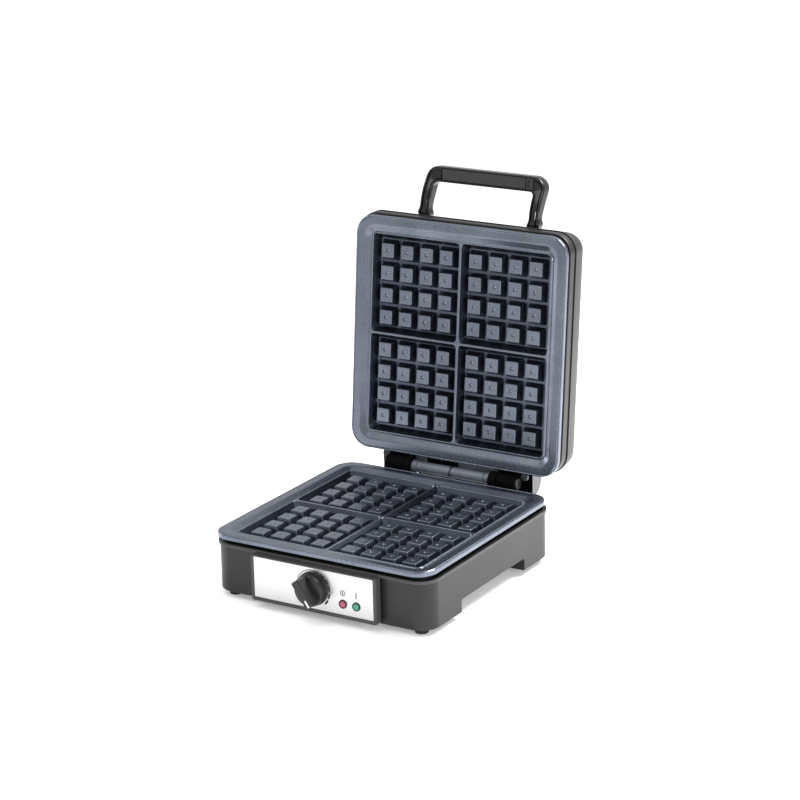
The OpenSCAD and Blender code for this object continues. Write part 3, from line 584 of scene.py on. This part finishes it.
piece("bezel_frame", b, M_BEZEL_AND_LIP_HIGHLIGHT, "base", ["control_bezel"])

# ---- steel panel ----
b = Build()
PANEL_FRONT, PANEL_BACK = PY + 0.22, PY + 1.2
back = window_ring(0.0, 0.9, PANEL_BACK)
edge = window_ring(0.0, 0.9, PY + 0.42)
face = window_ring(-0.2, 0.7, PANEL_FRONT)
holes_f, holes_b = [], []
for x, z, r in ((0, PANEL_Z, 4.2), (LAMP_X[0], LAMP_Z, 4.0), (LAMP_X[1], LAMP_Z, 4.0)):
    hf = b.ring([(px, PANEL_FRONT, pz) for px, pz in circle(r, 24, x, z)])
    hb = b.ring([(px, PANEL_BACK, pz) for px, pz in circle(r, 24, x, z)])
    b.bridge(hf, hb)
    holes_f.append(hf)
    holes_b.append(hb)
b.loft([back, edge, face])
b.fill(face, holes_f)
b.fill(back, holes_b)
piece("steel_panel", b, M_PANEL, "base", ["control_panel"])

# ---- signal lamps ----
b = Build()
for x in LAMP_X:
    c = Build()
    rings = c.lathe([(3.45, -4.0), (3.9, -4.0), (3.9, -0.18), (4.6, -0.18), (4.6, 0.35), (4.45, 0.7),
                     (4.1, 0.88), (3.75, 0.84), (3.5, 0.6), (3.45, 0.3)], 32, (False, False))
    c.bridge(rings[0], rings[-1])
    b.add(c, to_front(x, PY, LAMP_Z))
piece("lamp_bezels", b, M_INNER, "base", ["lamp_collars"])
for x, m, node, sl in ((LAMP_X[0], M_RED, "heating_lamp", "red_lens"),
                       (LAMP_X[1], M_GREEN, "ready_lamp", "green_lens")):
    c = Build()
    c.lathe([(3.35, -4.2), (3.38, 0.35), (3.2, 0.75), (2.8, 1.05), (2.2, 1.27), (1.4, 1.42),
             (0.6, 1.5), (0.0, 1.52)], 32)
    piece(node + "_lens", c.mesh(to_front(x, PY, LAMP_Z)), m, "base", [node])

# ---- temperature knob ----
KNOB_POSE = (Matrix.Translation((0, PY - 0.3, PANEL_Z)) @ Matrix.Rotation(math.radians(55), 4, "Y")
             @ Matrix.Rotation(math.pi / 2, 4, "X"))
knob = Build()
knob.lathe([(3.1, 0.0), (16.6, 0.0), (17.3, 0.12), (17.5, 0.5), (17.5, 1.2), (17.35, 1.5), (16.5, 1.75),
            (16.4, 2.1), (16.35, 7.6), (16.1, 8.4), (15.5, 8.9), (14.6, 9.1), (0.0, 9.4)], 96)
# grip bar: its length along X, tapering in width and rounded over at both ends
g = Build()
rows = []
for h, half, r, end in ((7.5, 7.0, 1.2, 16.2), (9.6, 6.5, 1.3, 16.0), (12.0, 6.0, 1.4, 15.85),
                        (15.0, 5.45, 1.5, 15.65), (17.4, 5.05, 1.6, 15.45), (18.5, 4.85, 1.6, 15.3),
                        (19.2, 4.55, 1.5, 15.0), (19.7, 4.05, 1.2, 14.5), (19.9, 3.5, 0.9, 13.9)):
    pts = []
    for x, y in rrect(end, half, r, n=5):
        lim = math.sqrt(max(end * end - y * y, 1))
        pts.append((max(-lim, min(lim, x)), y))
    rows.append(g.ring(pts, h))
g.loft(rows)
g.face(rows[0])
g.face(rows[-1])
knob.add(g)
piece("knob_body", knob.mesh(KNOB_POSE, merge=0), M_KNOB, "knob", ["temperature_knob"])
c = Build()
rows = [c.ring(rrect(a, w, w * 0.7, 10.6, 0, n=4), h) for a, w, h in
        ((4.0, 1.0, 19.2), (4.0, 1.0, 19.9), (3.9, 0.9, 20.0), (3.6, 0.6, 20.04))]
c.loft(rows)
c.face(rows[0])
c.face(rows[-1])
piece("knob_mark", c.mesh(KNOB_POSE), M_WHITE, "knob", ["knob_pointer"])

# ---- lid frame and shell ----
FR = [  # half width, front, back, corner radius, height
      (122.0, -121.2, 120.9, 17, LZ + 1.45), (122.0, -121.2, 120.9, 17, LZ + 4.1),
      (126.3, -127.9, 123.9, 20.2, LZ + 4.1), (126.9, -128.6, 124.6, 20.7, LZ + 4.5),
      (127.2, -129.0, 125.0, 21, LZ + 5.3), (127.2, -129.0, 125.0, 21, LZ + 13.4),
      (127.0, -128.7, 124.8, 20.8, LZ + 14.2), (126.4, -128.0, 124.2, 20.2, LZ + 14.7),
      (124.7, -126.0, 122.0, 18.5, LZ + 14.7), (124.7, -126.0, 122.0, 18.5, LZ + 17.7),
      (112.0, -112.0, 112.0, 12, LZ + 17.7), (112.0, -112.0, 112.0, 12, LZ + 1.45)]
b = Build()
b.loft([b.ring(rrect(hx, (y1 - y0) / 2, r, 0, (y0 + y1) / 2, n=12), z) for hx, y0, y1, r, z in FR],
       loop=True)
piece("lid_band", b.mesh(LID_POSE), M_INNER, "lid", ["lid_frame"])

SH = [  # distance in from the shell's edge, height above it
      (2.6, 0.0), (0.35, 0.0), (0.08, 0.2), (0.0, 0.5), (0.0, 1.15), (0.12, 1.5), (0.45, 1.75),
      (0.75, 2.0), (1.05, 4.2), (1.6, 8.6), (2.3, 13.4), (3.1, 17.8), (4.1, 21.6), (5.6, 25.0),
      (7.9, 28.0), (10.9, 30.5), (14.4, 32.2), (18.6, 33.3), (24.0, 33.85), (32.0, LID_TOP - LIP_Z)]
b = Build()
outer = [b.ring(rrect(LID_X - d, LID_D - d, max(22 - d, 6) if d < 12 else 10, 0, LID_Y, n=12), LIP_Z + z)
         for d, z in SH]
inner = [b.ring(rrect(LID_X - d, LID_D - d, max(22 - d, 6) if d < 12 else 8, 0, LID_Y, n=12), LIP_Z + z)
         for d, z in ((2.6, 0.6), (3.4, 4.0), (5.6, 17.0), (8.4, 24.5), (16.0, 29.6), (26.0, 31.2))]
b.loft(outer)
b.bridge(inner[0], outer[0])
b.loft(inner)
b.face(outer[-1])
b.face(inner[-1])
piece("lid_cover", b.mesh(LID_POSE), M_SHELL, "lid", ["lid_shell"])

# ---- handle ----
SHIFT = HQ - 176
# side view of the bow's underside and top: distance to the front, height from HH
LOW = [(118, -5), (126, -5), (130, -5), (135, -4.6), (140 + SHIFT, -3.6), (144.5 + SHIFT, -2.3),
       (149 + SHIFT, -0.8), (153 + SHIFT, 0.9), (157 + SHIFT, 3.0), (160 + SHIFT, 4.9),
       (162.5 + SHIFT, 6.2), (165 + SHIFT, 6.9), (168 + SHIFT, 7.0), (180 + SHIFT, 7.0)]
HIGH = [(118, 5.2), (126, 5.3), (130, 5.5), (135 + SHIFT, 6.8), (140 + SHIFT, 8.6), (145 + SHIFT, 11.0),
        (150 + SHIFT, 13.4), (155 + SHIFT, 16.0), (160 + SHIFT, 18.6), (163.5 + SHIFT, 20.1),
        (167 + SHIFT, GRIP_TOP), (170 + SHIFT, GRIP_TOP), (180 + SHIFT, GRIP_TOP)]
CURVES = {"lo": smooth_line(LOW, 200), "hi": smooth_line(HIGH, 200)}


def side_height(ref, q):
    """Height of a side curve at the distance q to the front."""
    fine = CURVES[ref]
    for (q0, z0), (q1, z1) in zip(fine, fine[1:]):
        if q <= q1:
            return z0 + (z1 - z0) * max(0.0, (q - q0) / (q1 - q0))
    return fine[-1][1]


OUT_R, IN_R = 15.0, 5.0


def leg_stations(n=26):
    """Inner point, outer point and how far the boot flares, up the right leg and round its bend."""
    out = []
    y_oc, y_ic = -HQ + OUT_R, -HQ + GRIP_W + IN_R
    for i in range(n):
        t = i / n
        y_o, y_i = -118 + (y_oc + 118) * t, -118 + (y_ic + 118) * t
        flare = 1.6 * math.exp(-(((y_o + y_i) / -2 - 129.0) / 3.6) ** 2)
        out.append(((60, y_i), (72, y_o), flare))
    for i in range(11):
        a = math.radians(9 * i)
        out.append(((60 - IN_R + IN_R * math.cos(a), y_ic - IN_R * math.sin(a)),
                    (72 - OUT_R + OUT_R * math.cos(a), y_oc - OUT_R * math.sin(a)), 0.0))
    return out


right = leg_stations()
bar = [((x, -HQ + GRIP_W), (x, -HQ), 0.0) for x in (52, 40, 20, 0, -20, -40, -52)]
left = [((-i[0], i[1]), (-o[0], o[1]), fl) for i, o, fl in right[::-1]]


def arc(cx, cz, r, a0, a1, n=4):
    return [(cx + r * math.cos(math.radians(a0 + (a1 - a0) * k / n)),
             cz + r * math.sin(math.radians(a0 + (a1 - a0) * k / n))) for k in range(n + 1)]


b = Build()
rings = []
for (ix, iy), (ox, oy), fl in right + bar + left:
    w = math.hypot(ox - ix, oy - iy)
    ux, uy = (ox - ix) / w, (oy - iy) / w
    # across the section: rim, groove, crowned face, groove, rim
    g0, g1 = 1.9, w - 2.5
    low = arc(1.5, 1.5, 1.5, 180, 270)
    low += [(g0, 0.0), (g0 + 0.25, 2.1), (g0 + 1.35, 2.1), (g0 + 1.6, 0.4), (g0 + 1.9, 0.12)]
    low += [(g0 + 1.9 + (g1 - g0 - 3.8) * k / 4, 0.12 - 0.25 * math.sin(math.pi * k / 4)) for k in (1, 2, 3)]
    low += [(g1 - 1.9, 0.12), (g1 - 1.6, 0.4), (g1 - 1.35, 2.1), (g1 - 0.25, 2.1), (g1, 0.0)]
    low += arc(w - 1.6, 1.6, 1.6, 270, 360)
    high = arc(w - 3.2, -3.2, 3.2, 0, 90) + arc(3.2, -3.2, 3.2, 90, 180)
    ring = []
    for ref, part in (("lo", low), ("hi", high)):
        for c, dz in part:
            c = c + fl * (2 * c / w - 1)
            dz = dz + fl * (0.6 if ref == "hi" else -0.6)
            x, y = ix + ux * c, iy + uy * c
            ring.append((x, y, HH + dz + side_height(ref, -y)))
    rings.append(b.ring(ring))
b.loft(rings)
b.face(rings[0])
b.face(rings[-1])
GRIP_L, GRIP_R = -53.0, 50.0
recess = box(GRIP_L, GRIP_R + 9, -HQ + 1.5, -HQ + GRIP_W - 1.5, HH + 5.5, HH + 9.2, 0.6).mesh(LID_POSE)
bow = cut(b.mesh(LID_POSE), [recess], use_self=True)
piece("handle_bow", bow, M_HANDLE, "lid", ["handle_frame"], sharp=30)

b = box(GRIP_L + 1.1, GRIP_R - 1.2, -HQ + 2.4, -HQ + GRIP_W - 2.3, HH + 7.05, HH + 9.1, 0.8)
piece("grip_cover", bevel(b.mesh(LID_POSE), 0.45, 2), M_GRIP, "lid", ["handle_cover"])
b = box(GRIP_R - 0.2, GRIP_R + 8.2, -HQ + 2.4, -HQ + GRIP_W - 2.3, HH + 6.95, HH + 9.1, 0.5)
catch_slot = box(GRIP_R + 1.5, GRIP_R + 6.5, -HQ + 4.4, -HQ + GRIP_W - 4.2, HH + 6.0, HH + 8.2, 0.4)
catch = cut(b.mesh(LID_POSE), [catch_slot.mesh(LID_POSE)])
piece("grip_catch", bevel(catch, 0.35, 2), M_GRIP, "lid", ["handle_catch"])


# ---- hinge arms, on the lid ----
def at_rest(y, z):
    """A point at rest, from the hinge axis, turned back to where it is when the lid is shut."""
    c, s = math.cos(OPEN), math.sin(OPEN)
    return (y * c - z * s, y * s + z * c)


ARM = [(-13.7, 9), at_rest(10.3, -16.05), at_rest(15.4, -16.05)]
ARM += [at_rest(*p) for p in smooth_line([(15.4, -16.05), (21.1, -14.8), (25.7, -11.7), (28.9, -6.5),
                                         (30.3, -1.0)], 14)[1:]]
ARM += [(-4.0, 30.9), (-14.6, 30.6), (-12.7, 17.4), (-12.7, 16.9), (-13.7, 16.9)]
KNUCKLE_Y = [(8.5 * math.cos(a), 8.5 * math.sin(a)) for a in
             [math.radians(-176 + 172 * i / 12) for i in range(13)]] + [(10, 13.2), (-8.4, 11.0)]


def boss_at(x, up):
    """The frame of an arm's boss, in the shut lid."""
    return (Matrix.Translation((x, BOSS_Y, HZ)) @ Matrix.Rotation(BOSS_TILT, 4, "X")
            @ Matrix.Translation((0, 0, up)))


for s, side in ((1, "right"), (-1, "left")):
    arm = bevel(prism([(HY + y, HZ + z) for y, z in ARM], ARM_X, ARM_OUT).mesh(), 0.9, 3, 25)
    # outer faces take the lighter copy as a painted reflection; the rest takes the painted shade
    for f in arm.faces:
        f.material_index = int(f.normal.x > 0.9)
    knuckle = prism([(HY + y, HZ + z) for y, z in KNUCKLE_Y], ARM_X, KNUCKLE).mesh()
    bore = Build()
    bore.lathe([(PIN_BORE, -6), (PIN_BORE, 30)], 32)
    knuckle = cut(bevel(knuckle, 0.5, 2, 40), [bore.mesh(to_x(ARM_X, HY, HZ))])
    boss = Build()
    boss.lathe([(2.1, 0.0), (2.1, -0.3), (3.6, -0.3), (4.0, -0.1), (4.2, 0.4), (4.2, 6.0), (2.1, 6.0)], 32,
               (False, True))
    whole = bmesh.new()
    for part in (arm, knuckle, boss.mesh(boss_at(BOSS_X, 5.2))):
        me = bpy.data.meshes.new("t")
        part.to_mesh(me)
        part.free()
        whole.from_mesh(me)
        bpy.data.meshes.remove(me)
    bmesh.ops.scale(whole, vec=(s, 1, 1), verts=whole.verts)
    if s < 0:
        bmesh.ops.reverse_faces(whole, faces=whole.faces)
    bmesh.ops.transform(whole, matrix=LID_POSE_M, verts=whole.verts)
    piece("arm_" + side, whole, [M_HINGE_PAINTED_SHADE, M_ARM_PAINTED_REFLECTION], "lid", ["hinge_arm_" + side])

# ---- barrel round the hinge pins ----
for s, side in ((1, "right"), (-1, "left")):
    b = Build()
    prof = [(BARREL_BORE, 0.9), (5.3, 0.9), (5.75, 1.05), (6.0, 1.5), (6.0, 39.6), (6.15, 40.0), (6.2, 40.5),
            (5.5, 40.8), (5.5, 41.3), (6.3, 41.5), (6.6, 41.9), (6.6, 47.2), (6.3, 47.7), (5.8, 47.8),
            (BARREL_BORE, 47.8)]
    rings = b.lathe(prof, 40, (False, False))
    b.bridge(rings[-1], rings[0])
    bm = b.mesh(to_x(0, HY, HZ))
    if s < 0:
        bmesh.ops.scale(bm, vec=(-1, 1, 1), verts=bm.verts)
        bmesh.ops.reverse_faces(bm, faces=bm.faces)
    piece("barrel_half_" + side, bm, M_BARREL, "base", ["barrel_" + side])
b = Build()
rings = b.lathe([(BARREL_BORE, -0.85), (6.2, -0.85), (6.5, -0.6), (6.5, 0.6), (6.2, 0.85),
                 (BARREL_BORE, 0.85)], 40, (False, False))
b.bridge(rings[-1], rings[0])
piece("barrel_mid_ring", b.mesh(to_x(0, HY, HZ)), M_BLACKENED, "base", ["barrel_ring"])

# ---- conduit saddle under the upper plate ----
saddle = prism([(HY + y, HZ + z) for y, z in ((-13.7, 9), (-2.06, 10.14), (-2.37, 13.1), (-13.7, 12))],
               -52, 50).mesh()
saddle_slot = box(-38, 2, HY - 8.6, HY + 11, HZ + 5, HZ + 17).mesh()
saddle = bevel(cut(saddle, [saddle_slot]), 0.5, 2, 40)
bmesh.ops.transform(saddle, matrix=LID_POSE_M, verts=saddle.verts)
piece("saddle_strip", saddle, M_BARREL, "lid", ["conduit_saddle"])

# ---- dark strips as painted shade in the gaps behind the barrel and the saddle ----
SHADE_STRIP = [(7.4, -24), (9.6, -24), (10.6, -9), (10.4, -3.2), (9.6, -2.0), (8.5, -2.2), (8.4, -8.5)]
SHADE_SHEET = [(-13.6, 12.15), (-2.5, 13.2), (-2.6, 14.3), (-13.6, 13.4)]
SHADE_SHEET_FOOT = [(-2.7, 13.3), (0.9, 13.4), (0.9, 14.3), (-2.7, 14.2)]
b = prism([(HY + y, HZ + z) for y, z in SHADE_STRIP], -EAR_X + 0.5, EAR_X - 0.5)
piece("painted_shade_strip_under_barrel", bevel(b.mesh(), 0.4, 2, 50), M_HINGE_PAINTED_SHADE, "base")
b = prism([(HY + y, HZ + z) for y, z in SHADE_SHEET], -57, 57)
b.add(prism([(HY + y, HZ + z) for y, z in SHADE_SHEET_FOOT], -46, 46))
piece("painted_shade_sheet_behind_saddle", bevel(b.mesh(LID_POSE), 0.3, 2, 50), M_HINGE_PAINTED_SHADE, "lid")

# ---- light washers round the arms' bosses ----
for s, side in ((1, "right"), (-1, "left")):
    b = Build()
    rings = b.lathe([(2.15, -0.35), (3.4, -0.4), (4.05, -0.2), (4.3, 0.3), (4.3, 1.6), (4.25, 1.6),
                     (2.15, 1.6)], 32, (False, False))
    b.bridge(rings[-1], rings[0])
    piece("boss_washer_" + side, b.mesh(LID_POSE @ boss_at(s * BOSS_X, 5.0)), M_BARREL, "lid")

# ---- cord gland at the back ----
b = Build()
rings = b.lathe([(3.6, -9.0), (5.6, -9.0), (6.0, -8.6), (6.0, -7.6), (5.4, -7.3), (5.4, -6.6), (6.0, -6.3),
                 (6.0, -5.2), (5.5, -4.9), (5.5, -4.2), (6.2, -3.9), (6.4, -3.1), (9.0, -3.0), (9.5, -2.5),
                 (9.5, -0.05), (7.0, -0.05), (7.0, 2.75), (8.6, 2.75), (8.6, 8.1), (3.6, 8.1)], 36,
                (False, False))
b.bridge(rings[-1], rings[0])
piece("gland", b.mesh(to_front(GLAND_X, YR, GLAND_Z)), M_INNER, "base", ["cord_gland"])

# ---- floor, light and camera ----
bpy.context.scene.view_settings.view_transform = "Standard"
floor_me = bpy.data.meshes.new("floor")
floor_me.from_pydata([(-30, -30, 0), (30, -30, 0), (30, 30, 0), (-30, 30, 0)], [], [(0, 1, 2, 3)])
floor = bpy.data.objects.new("floor", floor_me)
bpy.context.scene.collection.objects.link(floor)
n = Nodes("pale_floor")
tone = n.mix(n.span(n.noise(6, 3), 0.0, 1.0), (0.93, 0.93, 0.93), (0.95, 0.95, 0.95))
floor_me.materials.append(n.set(Base_Color=tone, Roughness=0.9, Specular_IOR_Level=0.1,
                                Emission_Color=(1.0, 1.0, 1.0), Emission_Strength=0.27))

world = bpy.data.worlds.new("studio")
bpy.context.scene.world = world
world.use_nodes = True
bg = next(n for n in world.node_tree.nodes if n.type == "BACKGROUND")
bg.inputs["Color"].default_value = (1.0, 1.0, 1.0, 1)
bg.inputs["Strength"].default_value = 0.78


def softbox(name, place, aim, size, power):
    """Area light at a place, turned to aim at a point; metres and watts."""
    light = bpy.data.lights.new(name, "AREA")
    light.shape, light.size, light.size_y, light.energy = "RECTANGLE", size[0], size[1], power
    ob = bpy.data.objects.new(name, light)
    bpy.context.scene.collection.objects.link(ob)
    ob.location = place
    ob.rotation_euler = (Vector(aim) - Vector(place)).to_track_quat("-Z", "Y").to_euler()


softbox("over_right", (0.48, 0.48, 0.95), (0.42, 0.45, 0), (0.5, 0.5), 25)
softbox("front_right", (1.75, -0.75, 0.55), (0, 0, 0.14), (0.22, 0.4), 12)
softbox("left", (-1.9, -0.25, 0.5), (0, 0, 0.15), (0.25, 0.7), 8)
softbox("top", (-0.6, -0.9, 1.9), (-0.3, -0.5, 0), (1.2, 1.2), 9)

cam_data = bpy.data.cameras.new("camera")
cam = bpy.data.objects.new("camera", cam_data)
bpy.context.scene.collection.objects.link(cam)
cam_data.lens, cam_data.sensor_width = 118.35, 36.0
cam_data.clip_start, cam_data.clip_end = 0.05, 100
cam.matrix_world = Matrix((
    (0.85242808, -0.1384096, 0.50419158, 1.35275),
    (0.52228852, 0.26987811, -0.80893789, -2.13244 - MID_Y / 1000),
    (-0.0241055, 0.95289485, 0.30234143, 0.99090), (0, 0, 0, 1)))
bpy.context.scene.camera = cam
